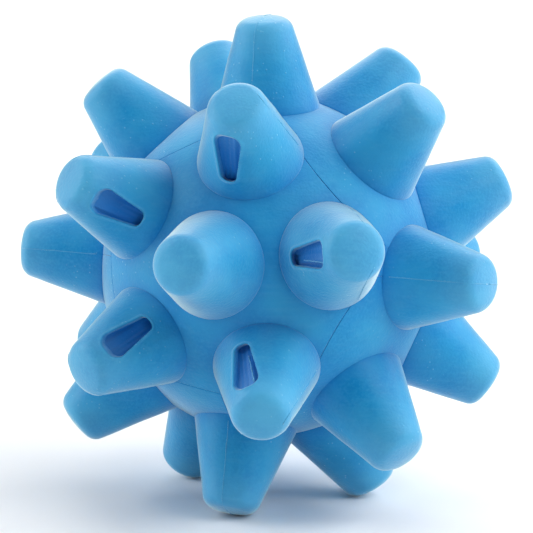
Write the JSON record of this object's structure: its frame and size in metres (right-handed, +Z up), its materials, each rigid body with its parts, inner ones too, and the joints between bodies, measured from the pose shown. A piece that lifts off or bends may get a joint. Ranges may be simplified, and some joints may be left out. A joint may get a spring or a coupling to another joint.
{
  "type": "massage ball",
  "caption": "Firm rubber massage ball with long blunt nubs in rings round one axis, tapered pockets in some nubs and mould parting lines over the skin.",
  "frame": {"origin": "on the surface that the ball lies on, under the middle of its bounding box", "axes": "+Z up with the ball lying on three nub ends; the front pole nub points to -Y, 19.5 degrees towards -X and 9 degrees up; +X to the right of someone facing that nub"},
  "size_m": [0.124, 0.122, 0.1225],
  "materials": {
    "nub_rubber": "satin blue moulded rubber",
    "skin_rubber": "satin blue moulded rubber, as the nubs",
    "core_rubber": "matt, out of sight"
  },
  "bodies": {
    "root": {"pole_nub_front": "nub_rubber", "inner_nub_front_1": "nub_rubber", "inner_nub_front_2": "nub_rubber", "inner_nub_front_3": "nub_rubber", "inner_nub_front_4": "nub_rubber", "inner_nub_front_5": "nub_rubber", "outer_nub_front_1": "nub_rubber", "outer_nub_front_2": "nub_rubber", "outer_nub_front_3": "nub_rubber", "outer_nub_front_4": "nub_rubber", "outer_nub_front_5": "nub_rubber", "outer_nub_front_6": "nub_rubber", "outer_nub_front_7": "nub_rubber", "outer_nub_front_8": "nub_rubber", "outer_nub_back_1": "nub_rubber", "outer_nub_back_2": "nub_rubber", "outer_nub_back_3": "nub_rubber", "outer_nub_back_4": "nub_rubber", "outer_nub_back_5": "nub_rubber", "outer_nub_back_6": "nub_rubber", "outer_nub_back_7": "nub_rubber", "outer_nub_back_8": "nub_rubber", "inner_nub_back_1": "nub_rubber", "inner_nub_back_2": "nub_rubber", "inner_nub_back_3": "nub_rubber", "inner_nub_back_4": "nub_rubber", "inner_nub_back_5": "nub_rubber", "pole_nub_back": "nub_rubber", "skin_cap_front": "skin_rubber", "skin_cap_back": "skin_rubber", "skin_side_1": "skin_rubber", "skin_side_2": "skin_rubber", "skin_side_3": "skin_rubber", "skin_side_4": "skin_rubber", "core": "core_rubber"}
  },
  "joints": []
}
